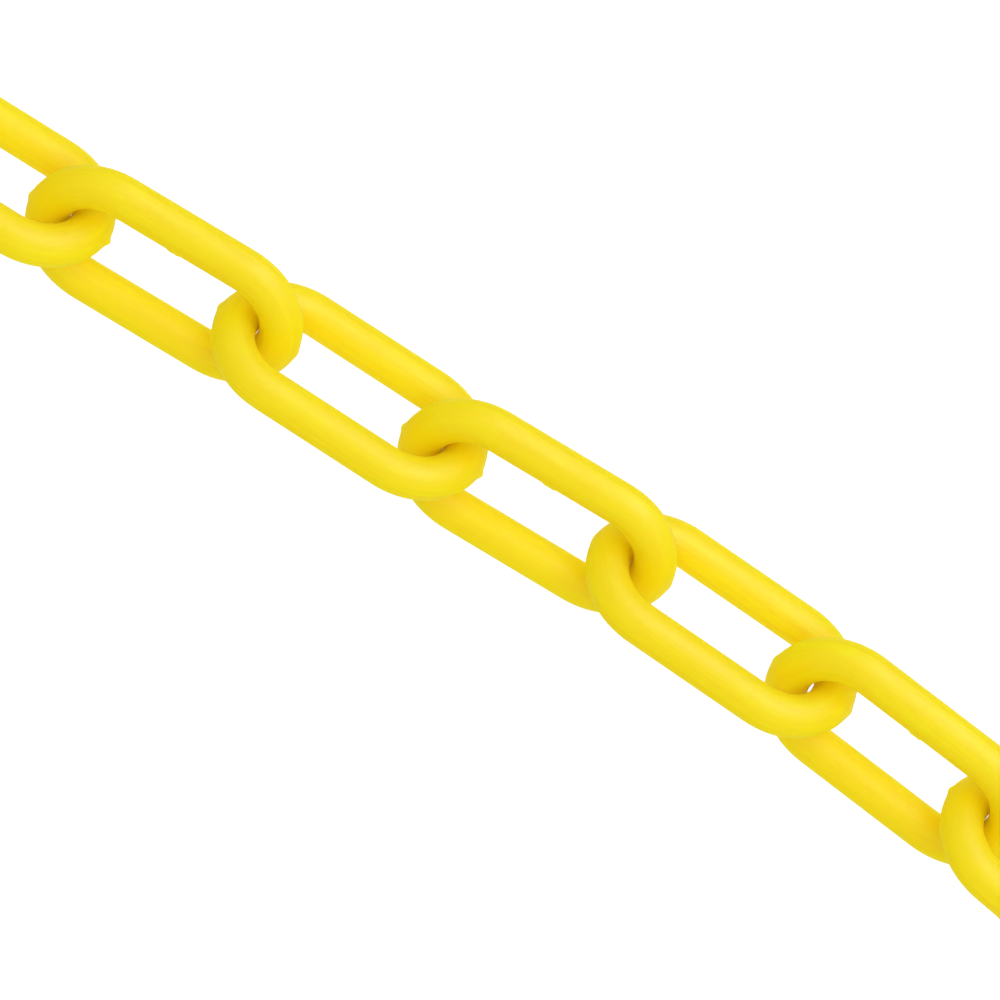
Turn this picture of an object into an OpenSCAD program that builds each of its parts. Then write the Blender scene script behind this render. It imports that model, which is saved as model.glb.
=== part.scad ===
// A length of moulded plastic barrier chain, laid out along the floor.
// Every link is the same closed loop of round bar. Neighbouring links are threaded through
// each other at their crowns, and lean opposite ways, so that the chain lies on its legs.
// +X runs along the chain and +Z is up. The origin is on the floor, under the middle.

/* [Link] */
// Diameter of the round bar
bar_d = 8; // [6:0.5:10]
// Clear length inside a link
eye_length = 40; // [36:1:60]
// Clear width inside a link
eye_width = 15; // [13:0.5:24]

/* [Moulding marks] */
// Radius of the ball whose cap is the pip at the tip of each crown
pip_r = 1.4; // [0.8:0.1:2]
// How far a pip stands proud of the crown
pip_height = 0.35; // [0.1:0.05:0.6]
// Radius of the ball whose cap is the gate mark halfway along one leg
gate_r = 2; // [1:0.1:3]
// How far the gate mark stands proud of the leg
gate_height = 0.25; // [0.1:0.05:0.6]

/* [Chain] */
// Least free play along the chain where two crowns nest
play = 0.12; // [0.1:0.02:1]
// Angle between a link's plane and the floor
lean = 45; // [40:1:50]

/* [Hidden] */
// Heading of each link about the vertical, in degrees: a chain set down by hand wanders
headings = [
    1, 2, 0, -2, -3, -1, 1, 3, 2,
    1.5, 2.5, 0.5, 2.5, -1, -4, -7,
    -5, -2, 1, 3, 4, 2, 0, -1, 1
];
// Extra play at each nest of crowns, in millimetres, where the chain wasn't pulled tight
slack = [
    0.1, 0, 0.2, 0, 0, 0.3, 0.1, 0,
    0.1, 0, 0.05, 0, 0, 0.4, 0.1, 0,
    0, 0.2, 0, 0.1, 0.3, 0, 0.1, 0
];
link_count = len(headings);

function link_name(k) = str("link_", k < 10 ? "0" : "", k);

$fn = 48;

// The bar's centreline is two straight legs joined by two half circles, the crowns.
bar_r = bar_d / 2;
crown_r = (eye_width + bar_d) / 2;
leg_length = eye_length - eye_width;
half_leg = leg_length / 2;
half_length = half_leg + crown_r + bar_r;

// Height of every link's centre, with its lower leg resting on the floor
rest_z = crown_r * sin(lean) + bar_r;

// Nest k is where the crowns of links k and k + 1 meet. Nest 0 is before the first link.
function play_at(nest) = play + (nest % link_count == 0 ? 0 : slack[nest - 1]);
function half_step(nest) = (eye_length - play_at(nest)) / 2;
function direction(k) = [cos(headings[k - 1]), sin(headings[k - 1])];

// Places of the nests and of the links' middles along the run, before the chain is centred
function nest_place(k) = k == 0 ? [0, 0] : link_middle(k) + half_step(k) * direction(k);
function link_middle(k) = nest_place(k - 1) + half_step(k - 1) * direction(k);

// Half the width of a link across a horizontal direction that is `turn` off its long axis
function half_span(turn) = half_leg * abs(cos(turn))
    + crown_r * norm([cos(turn), cos(lean) * sin(turn)]) + bar_r;

// Ends and sides of the whole chain, from which its middle follows. A pip is the last thing
// at each end.
far_end = link_middle(link_count).x + (half_length + pip_height) * cos(headings[link_count - 1]);
near_end = link_middle(1).x - (half_length + pip_height) * cos(headings[0]);
left_side = max([for (k = [1:link_count]) link_middle(k).y + half_span(90 - headings[k - 1])]);
right_side = min([for (k = [1:link_count]) link_middle(k).y - half_span(90 - headings[k - 1])]);
chain_middle = [far_end + near_end, left_side + right_side] / 2;

// Half a ring of round bar, bulging towards +X
module crown() {
    rotate([0, 0, -90])
        rotate_extrude(angle = 180)
            translate([crown_r, 0])
                circle(r = bar_r);
}

// Round bar, centred on the origin and lying along X
module leg() {
    rotate([0, 90, 0])
        cylinder(r = bar_r, h = leg_length, center = true);
}

// The pip that the mould leaves where the parting line passes the tip of a crown
module pip() {
    translate([half_length + pip_height - pip_r, 0, 0])
        sphere(r = pip_r);
}

// The mark where the plastic entered the mould, low on the inner side of one leg
module gate_mark() {
    translate([0, crown_r, 0])
        rotate([-45, 0, 0])
            translate([0, -(bar_r + gate_height - gate_r), 0])
                sphere(r = gate_r);
}

// One link in its own plane, XY, with its long axis along X
module link() {
    for (side = [0, 1])
        mirror([side, 0, 0]) {
            translate([half_leg, 0, 0])
                crown();
            pip();
        }
    for (side = [-1, 1])
        translate([0, side * crown_r, 0])
            leg();
    gate_mark();
}

// Link k in its place. Odd links lean one way and even links the other.
module placed_link(k) {
    at = link_middle(k) - chain_middle;
    color("gold")
        translate([at.x, at.y, rest_z])
            rotate([0, 0, headings[k - 1]])
                rotate([k % 2 == 1 ? lean : 180 - lean, 0, 0])
                    link();
}

for (k = [1:link_count])
    placed_link(k);
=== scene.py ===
"""The looks of a length of moulded plastic barrier chain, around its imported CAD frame.

Each CAD link is replaced by a finer mesh of the same bar and the same place. It adds what the
mould leaves behind: a parting line, a pip at each crown, a gate mark and a slight unevenness.
"""

import math
import random

import bpy
import numpy as np
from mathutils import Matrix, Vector


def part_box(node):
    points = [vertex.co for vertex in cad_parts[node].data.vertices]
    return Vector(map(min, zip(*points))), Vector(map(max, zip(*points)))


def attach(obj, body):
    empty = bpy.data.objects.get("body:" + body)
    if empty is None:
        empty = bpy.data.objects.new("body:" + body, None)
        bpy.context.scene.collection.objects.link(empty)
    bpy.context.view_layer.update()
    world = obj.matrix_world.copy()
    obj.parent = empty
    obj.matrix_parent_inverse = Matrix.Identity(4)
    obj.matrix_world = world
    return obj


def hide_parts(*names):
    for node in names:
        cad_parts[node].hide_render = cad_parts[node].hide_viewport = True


MM = 0.001

# The bar of a link, as in the CAD: two straight legs and two half-circle crowns
BAR_R = 4.0 * MM
CROWN_R = 11.5 * MM
HALF_LEG = 12.5 * MM
LEG = 2 * HALF_LEG
CROWN = math.pi * CROWN_R
LOOP = 2 * LEG + 2 * CROWN

# Places along the bar, measured from the start of the leg that leans up
GATE_AT = HALF_LEG
FAR_TIP_AT = LEG + CROWN / 2
NEAR_TIP_AT = 2 * LEG + 1.5 * CROWN

# Places round the bar, in degrees: 0 faces out of the link, 90 is its upper face, 180 faces the eye
GATE_ANGLE = 135

# Rings of vertices along the bar
LEG_RINGS = 10
CROWN_RINGS = 36
FINE_STEP = 0.3 * MM
FINE_REACH = 2.4 * MM

# Parting line: a raised thread outside and a fainter one in the eye, and a step between the halves
FLASH = 0.06 * MM
FLASH_WIDTH = 0.22 * MM
INNER_FLASH = 0.03 * MM
MISMATCH = 0.02 * MM
MISMATCH_EDGE = 0.15 * MM

# Pips at the crowns' tips, and the low keel that they stand on
KEEL = 0.12 * MM
KEEL_REACH = 4.5 * MM
PIP_SHORT = 0.10 * MM
PIP_TALL = 0.50 * MM
PIP_LENGTH = 0.9 * MM
PIP_WIDTH = 0.55 * MM

# Seats, where the next link bears
SEAT_RISE = 0.05 * MM
SEAT_REACH = 1.6 * MM

# Gate mark
GATE = 0.24 * MM
GATE_R = 1.1 * MM
GATE_EDGE = 0.24 * MM
GATE_DIMPLE = 0.14 * MM

# Unevenness of the bar
WOBBLE = 0.02 * MM
SINK = 0.02 * MM
MOULD_SEED = 1600

# The length of one unit of a link's UVs, and how many units apart the links' UVs lie
UV_UNIT = 10 * MM
UV_GAP = 13.7

# Colours of the plastic, linear
YELLOW_DEEP = (0.920, 0.688, 0.001, 1)
YELLOW_PALE = (0.945, 0.722, 0.001, 1)
YELLOW_FLOW = (0.900, 0.648, 0.001, 1)
YELLOW_SPECK = (0.950, 0.755, 0.005, 1)

# The view, whose roll is in degrees and the rest in metres, apart from the sensor's millimetres. It aims
# a little to the right of and below the crossing of link_12 and link_13.
VIEW_ROLL = 33.39
CAMERA_HEIGHT = 1.2
VIEW_WIDTH = 181.35 * MM
SENSOR = 36.0
AIM_ALONG = 10.25 * MM
AIM_DOWN = 9.36 * MM

# The studio, in metres and watts. Places and directions are steps to the view's right, to its
# top and upwards.
FLOOR_SIZE = 60
FLOOR_DEPTH = 1.0
TENT_BRIGHT_SIDE = (0.75, 0.1, 0.65)
TENT_DIM = 0.42
TENT_BRIGHT = 0.71
FILL_PLACE = (0.5, 0.1, 2.1)
FILL_SIZE = (2.2, 2.0)
FILL_POWER = 22
GLINT_PLACE = (1.3, 0.8, 1.6)
GLINT_SIZE = (1.5, 1.5)
GLINT_POWER = 52


# ---------------------------------------------------------------- meshes


def stations():
    """Places along the bar where a ring of vertices goes: closer at the tips and at the gate."""
    ends = [LEG, LEG + CROWN, 2 * LEG + CROWN, LOOP]
    counts = [LEG_RINGS, CROWN_RINGS, LEG_RINGS, CROWN_RINGS]
    places = []
    start = 0.0
    for end, count in zip(ends, counts):
        places.extend(start + (end - start) * i / count for i in range(count))
        start = end
    steps = round(FINE_REACH / FINE_STEP)
    for mark in (GATE_AT, FAR_TIP_AT, NEAR_TIP_AT):
        places = [s for s in places if abs(s - mark) > FINE_REACH + FINE_STEP / 2]
        places.extend(mark + FINE_STEP * i for i in range(-steps, steps + 1))
    return np.array(sorted(places))


def ring_angles():
    """Angles round the bar, in degrees: closer at the parting line and at the gate."""
    off_seam = [0, 1.7, 3.5, 6, 10]
    angles = set(range(20, 170, 10)) | set(range(190, 350, 10))
    angles |= set(range(GATE_ANGLE - 18, GATE_ANGLE + 19, 4))
    for seam in (0, 180):
        for turn in off_seam:
            angles.add((seam + turn) % 360)
            angles.add((seam - turn) % 360)
    return np.array(sorted(angles), float)


def centreline(s):
    """Point on the bar's centreline in the link's own plane, and the way out of the link."""
    s = s % LOOP
    if s < LEG:
        return (s - HALF_LEG, CROWN_R), (0.0, 1.0)
    if s < LEG + CROWN:
        a = math.pi / 2 - (s - LEG) / CROWN_R
        return (HALF_LEG + CROWN_R * math.cos(a), CROWN_R * math.sin(a)), (math.cos(a), math.sin(a))
    if s < 2 * LEG + CROWN:
        return (HALF_LEG - (s - LEG - CROWN), -CROWN_R), (0.0, -1.0)
    a = -math.pi / 2 - (s - 2 * LEG - CROWN) / CROWN_R
    return (-HALF_LEG + CROWN_R * math.cos(a), CROWN_R * math.sin(a)), (math.cos(a), math.sin(a))


def bell(x, width):
    """1 at the middle, falling smoothly to nothing on both sides."""
    return np.exp(-((x / width) ** 2))


def bar_radius(s, degrees, rng, pips):
    """Radius of the bar at each station and angle, with everything that the mould left on it.

    outer and inner are distances round the bar from the parting line outside and in the eye.
    """
    s = s[:, None]
    angle = np.radians(degrees)[None, :]
    outer = np.arctan2(np.sin(angle), np.cos(angle)) * BAR_R
    inner = np.arctan2(np.sin(angle - math.pi), np.cos(angle - math.pi)) * BAR_R
    r = np.full((s.shape[0], angle.shape[1]), BAR_R)

    # The bar shrank unevenly as it cooled
    for waves in (1, 2, 3, 5):
        phase, turn = rng.uniform(0, math.tau), rng.uniform(0, math.tau)
        swing = np.sin(math.tau * waves * s / LOOP + phase)
        r -= WOBBLE / waves * (0.5 + 0.5 * swing * np.cos(angle + turn))
    r -= SINK * np.sin(angle) ** 2 * (0.6 + 0.4 * np.sin(2 * math.tau * s / LOOP))

    # The two halves of the mould meet a hair out of line, and leave a fine raised line
    outer_step = np.tanh(outer / MISMATCH_EDGE) * (np.abs(outer) < math.pi / 2 * BAR_R)
    inner_step = -np.tanh(inner / MISMATCH_EDGE) * (np.abs(inner) < math.pi / 2 * BAR_R)
    r += MISMATCH / 2 * np.cos(angle) * (outer_step + inner_step)
    ragged = 0.75 + 0.25 * np.sin(math.tau * 9 * s / LOOP + rng.uniform(0, math.tau))
    r += FLASH * ragged * bell(outer, FLASH_WIDTH)
    r += INNER_FLASH * bell(inner, FLASH_WIDTH)

    # Where the next link bears, the bar is full size and squeezed a little proud
    for tip in (FAR_TIP_AT, NEAR_TIP_AT):
        seat = bell(s - tip, SEAT_REACH) * bell(inner, SEAT_REACH)
        r += seat * (BAR_R + SEAT_RISE - r)

    # Pips stand on a low keel where the line passes the tip of each crown. Tall ones are short along it.
    for tip, height in zip((FAR_TIP_AT, NEAR_TIP_AT), pips):
        r += KEEL * bell(s - tip, KEEL_REACH) * bell(outer, 2 * PIP_WIDTH)
        length = PIP_LENGTH * (1.25 - 0.5 * height / PIP_TALL)
        r += height * bell(s - tip, length) * bell(outer, PIP_WIDTH)

    # The gate mark is a low disc with a dimple
    across = (angle - math.radians(GATE_ANGLE)) * BAR_R
    away = np.hypot(s - GATE_AT, across)
    r += GATE / 2 * (1 - np.tanh((away - GATE_R) / GATE_EDGE))
    r -= GATE_DIMPLE * bell(away, GATE_R / 2)
    return r


def link_frame(node):
    """A link's centre, long axis, cross axis (pointing up) and upper face's normal, from its mesh.

    The mesh spreads most along the link and least along the normal.
    """
    faces = node.data.polygons
    area = np.array([face.area for face in faces])
    middle = np.array([face.center for face in faces], float)
    balance = (middle * area[:, None]).sum(0) / area.sum()
    spread = (middle - balance) * np.sqrt(area)[:, None]
    _, axes = np.linalg.eigh(spread.T @ spread)
    long = axes[:, 2] * np.sign(axes[0, 2])
    cross = axes[:, 1] * np.sign(axes[2, 1])
    low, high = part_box(node.name)
    centre = np.array([(a + b) / 2 for a, b in zip(low, high)])
    return centre, long, cross, np.cross(long, cross)


def link_mesh(name, node, index):
    """A fine mesh of one link, with UVs that run along and round the bar."""
    rng = random.Random(MOULD_SEED + index)
    pips = [rng.uniform(PIP_SHORT, PIP_TALL) for _ in range(2)]
    s = stations()
    degrees = ring_angles()
    r = bar_radius(s, degrees, rng, pips)
    centre, long, cross, normal = link_frame(node)
    rings, steps = len(s), len(degrees)
    verts = np.empty((rings, steps, 3))
    angle = np.radians(degrees)[:, None]
    for i, place in enumerate(s):
        point, out = centreline(place)
        middle = centre + point[0] * long + point[1] * cross
        outward = out[0] * long + out[1] * cross
        verts[i] = middle + r[i][:, None] * (np.cos(angle) * outward + np.sin(angle) * normal)

    faces = []
    uvs = []
    along = np.append(s, LOOP + s[0]) / UV_UNIT + UV_GAP * index
    around = np.append(degrees, 360 + degrees[0]) / 360 * (math.tau * BAR_R) / UV_UNIT
    for i in range(rings):
        for j in range(steps):
            next_i, next_j = (i + 1) % rings, (j + 1) % steps
            faces.append((i * steps + j, i * steps + next_j, next_i * steps + next_j, next_i * steps + j))
            for a, b in ((i, j), (i, j + 1), (i + 1, j + 1), (i + 1, j)):
                uvs.append((along[a], around[b]))
    mesh = bpy.data.meshes.new(name)
    mesh.from_pydata(verts.reshape(-1, 3).tolist(), [], faces)
    layer = mesh.uv_layers.new(name="bar")
    layer.data.foreach_set("uv", np.array(uvs, np.float32).ravel())
    mesh.polygons.foreach_set("use_smooth", [True] * len(mesh.polygons))
    mesh.update()
    piece = bpy.data.objects.new(name, mesh)
    bpy.context.scene.collection.objects.link(piece)
    return piece


# ---------------------------------------------------------------- materials


def node_tree(name):
    """A new material, its tree and its shader."""
    material = bpy.data.materials.new(name)
    material.use_nodes = True
    tree = material.node_tree
    return material, tree, tree.nodes["Principled BSDF"]


def add(tree, kind, **values):
    """A node, with its sockets and properties set by name."""
    node = tree.nodes.new(kind)
    for key, value in values.items():
        if key in node.inputs:
            node.inputs[key].default_value = value
        else:
            setattr(node, key, value)
    return node


def noise(tree, vector, scale, detail=3.0, roughness=0.5):
    node = add(tree, "ShaderNodeTexNoise", Scale=scale, Detail=detail, Roughness=roughness)
    tree.links.new(vector, node.inputs["Vector"])
    return node.outputs["Fac"]


def ramp(tree, value, low, high, to_low=0.0, to_high=1.0):
    node = add(tree, "ShaderNodeMapRange")
    for key, number in (("From Min", low), ("From Max", high), ("To Min", to_low), ("To Max", to_high)):
        node.inputs[key].default_value = number
    tree.links.new(value, node.inputs["Value"])
    return node.outputs["Result"]


def math_node(tree, operation, a, b):
    node = add(tree, "ShaderNodeMath", operation=operation)
    for socket, value in zip(node.inputs, (a, b)):
        if isinstance(value, (int, float)):
            socket.default_value = value
        else:
            tree.links.new(value, socket)
    return node.outputs[0]


def mix_colour(tree, factor, a, b):
    node = add(tree, "ShaderNodeMix", data_type="RGBA")
    tree.links.new(factor, node.inputs["Factor"])
    for socket, value in ((node.inputs[6], a), (node.inputs[7], b)):
        if isinstance(value, tuple):
            socket.default_value = value
        else:
            tree.links.new(value, socket)
    return node.outputs[2]


def stretched(tree, vector, along, around):
    node = add(tree, "ShaderNodeMapping")
    node.inputs["Scale"].default_value = (along, around, 1.0)
    tree.links.new(vector, node.inputs["Vector"])
    return node.outputs["Vector"]


def yellow_plastic():
    """Satin yellow polyethylene, coloured through and a little translucent."""
    material, tree, shader = node_tree("yellow_plastic")
    where = add(tree, "ShaderNodeTexCoord")
    place, bar = where.outputs["Object"], where.outputs["UV"]

    # Colour: broad cloudiness of the pigment, flow lines along the bar and fine speckle
    cloud = ramp(tree, noise(tree, place, 60.0, 3.0), 0.35, 0.65)
    flow = ramp(tree, noise(tree, stretched(tree, bar, 0.25, 3.0), 1.6, 4.0, 0.6), 0.38, 0.66)
    speckle = ramp(tree, noise(tree, place, 900.0, 2.0), 0.60, 0.75)
    base = mix_colour(tree, cloud, YELLOW_DEEP, YELLOW_PALE)
    base = mix_colour(tree, math_node(tree, "MULTIPLY", flow, 0.75), base, YELLOW_FLOW)
    base = mix_colour(tree, math_node(tree, "MULTIPLY", speckle, 0.20), base, YELLOW_SPECK)
    tree.links.new(base, shader.inputs["Base Color"])

    # Gloss: satin, with patches rubbed duller
    rub = ramp(tree, noise(tree, place, 180.0, 4.0, 0.6), 0.35, 0.70, 0.50, 0.60)
    tree.links.new(rub, shader.inputs["Roughness"])

    # Surface: flow lines, the mould's fine texture and orange peel
    lines = noise(tree, stretched(tree, bar, 0.30, 9.0), 1.5, 3.0, 0.55)
    peel = noise(tree, place, 420.0, 2.0)
    grain = noise(tree, place, 2600.0, 2.0)
    height = math_node(tree, "MULTIPLY", lines, 0.65)
    height = math_node(tree, "ADD", height, math_node(tree, "MULTIPLY", peel, 0.30))
    height = math_node(tree, "ADD", height, math_node(tree, "MULTIPLY", grain, 0.05))
    bump = add(tree, "ShaderNodeBump", Strength=0.4, Distance=0.0002)
    tree.links.new(height, bump.inputs["Height"])
    tree.links.new(bump.outputs["Normal"], shader.inputs["Normal"])

    shader.inputs["IOR"].default_value = 1.5
    shader.inputs["Specular IOR Level"].default_value = 0.35
    shader.inputs["Subsurface Weight"].default_value = 1.0
    shader.inputs["Subsurface Radius"].default_value = (1.0, 0.8, 0.1)
    shader.inputs["Subsurface Scale"].default_value = 0.012
    return material


def floor_white():
    """A bright white floor, lit through from below like a light table."""
    material, tree, shader = node_tree("floor_white")
    place = add(tree, "ShaderNodeTexCoord").outputs["Object"]
    shade = mix_colour(tree, noise(tree, place, 3.0, 2.0), (0.27, 0.27, 0.27, 1), (0.29, 0.29, 0.29, 1))
    tree.links.new(shade, shader.inputs["Base Color"])
    shader.inputs["Roughness"].default_value = 0.8
    shader.inputs["Specular IOR Level"].default_value = 0.1
    shader.inputs["Emission Color"].default_value = (1, 1, 1, 1)
    shader.inputs["Emission Strength"].default_value = 0.87
    return material


# ---------------------------------------------------------------- scene


def make_floor(size, depth):
    """A floor some way under the chain, so that it stays clear of a chain that is lifted or folded."""
    bpy.ops.mesh.primitive_grid_add(x_subdivisions=8, y_subdivisions=8, size=size, location=(0, 0, -depth))
    floor = bpy.context.object
    floor.name = "floor"
    floor.data.materials.append(floor_white())
    floor.visible_glossy = False


def make_world(toward, dark, bright):
    """A studio tent, bright in one direction and dimmer away from it. As a backdrop it is plain white."""
    world = bpy.data.worlds.new("studio")
    world.use_nodes = True
    tree = world.node_tree
    background = tree.nodes["Background"]
    direction = add(tree, "ShaderNodeTexCoord").outputs["Generated"]
    facing = add(tree, "ShaderNodeVectorMath", operation="DOT_PRODUCT")
    tree.links.new(direction, facing.inputs[0])
    facing.inputs[1].default_value = toward.normalized()
    strength = ramp(tree, facing.outputs["Value"], -1.0, 1.0, dark, bright)
    seen = add(tree, "ShaderNodeLightPath").outputs["Is Camera Ray"]
    tree.links.new(math_node(tree, "MAXIMUM", strength, seen), background.inputs["Strength"])
    background.inputs["Color"].default_value = (1, 1, 1, 1)
    bpy.context.scene.world = world


def make_softbox(name, place, target, size, power):
    """A large rectangular light that faces the target."""
    light = bpy.data.lights.new(name, "AREA")
    light.shape = "RECTANGLE"
    light.size, light.size_y = size
    light.energy = power
    lamp = bpy.data.objects.new(name, light)
    lamp.location = place
    lamp.rotation_euler = (Vector(target) - Vector(place)).to_track_quat("-Z", "Y").to_euler()
    bpy.context.scene.collection.objects.link(lamp)
    return lamp


def make_camera(target):
    """Straight down on the middle links, with the chain running to the lower right.

    Gives the view's right and its top back.
    """
    data = bpy.data.cameras.new("camera")
    data.sensor_width = SENSOR
    data.lens = SENSOR * CAMERA_HEIGHT / VIEW_WIDTH
    data.clip_start = 0.01
    data.clip_end = 100
    camera = bpy.data.objects.new("camera", data)
    roll = math.radians(VIEW_ROLL)
    right = Vector((math.cos(roll), math.sin(roll), 0))
    up = Vector((-math.sin(roll), math.cos(roll), 0))
    camera.location = target + AIM_ALONG * right - AIM_DOWN * up + Vector((0, 0, CAMERA_HEIGHT))
    camera.rotation_euler = (0, 0, roll)
    bpy.context.scene.collection.objects.link(camera)
    bpy.context.scene.camera = camera
    return right, up


def in_view(view, steps):
    """A vector given as steps to the view's right, to its top and upwards."""
    right, up = view
    return steps[0] * right + steps[1] * up + Vector((0, 0, steps[2]))


def middle_of(node):
    """Middle of a node's upright box."""
    low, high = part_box(node)
    return (low + high) / 2


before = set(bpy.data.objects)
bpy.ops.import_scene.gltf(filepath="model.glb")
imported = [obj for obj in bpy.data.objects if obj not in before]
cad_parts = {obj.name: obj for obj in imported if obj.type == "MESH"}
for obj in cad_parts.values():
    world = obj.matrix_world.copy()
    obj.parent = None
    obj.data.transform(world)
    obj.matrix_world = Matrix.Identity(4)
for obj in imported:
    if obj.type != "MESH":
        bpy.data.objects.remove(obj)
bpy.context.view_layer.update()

crossing = (middle_of("link_12") + middle_of("link_13")) / 2
view = make_camera(crossing)

plastic = yellow_plastic()
for index, (name, node) in enumerate(sorted(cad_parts.items())):
    piece = link_mesh(name + "_moulded", node, index)
    piece.data.materials.append(plastic)
    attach(piece, name)
    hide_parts(name)

# One light shapes the plastic and the other only gives it highlights
make_floor(FLOOR_SIZE, FLOOR_DEPTH)
make_world(in_view(view, TENT_BRIGHT_SIDE), TENT_DIM, TENT_BRIGHT)
fill = make_softbox("fill", crossing + in_view(view, FILL_PLACE), crossing, FILL_SIZE, FILL_POWER)
fill.visible_glossy = False
glint = make_softbox("glint", crossing + in_view(view, GLINT_PLACE), crossing, GLINT_SIZE, GLINT_POWER)
glint.visible_diffuse = False

scene = bpy.context.scene
scene.view_settings.view_transform = "Standard"
scene.view_settings.look = "None"
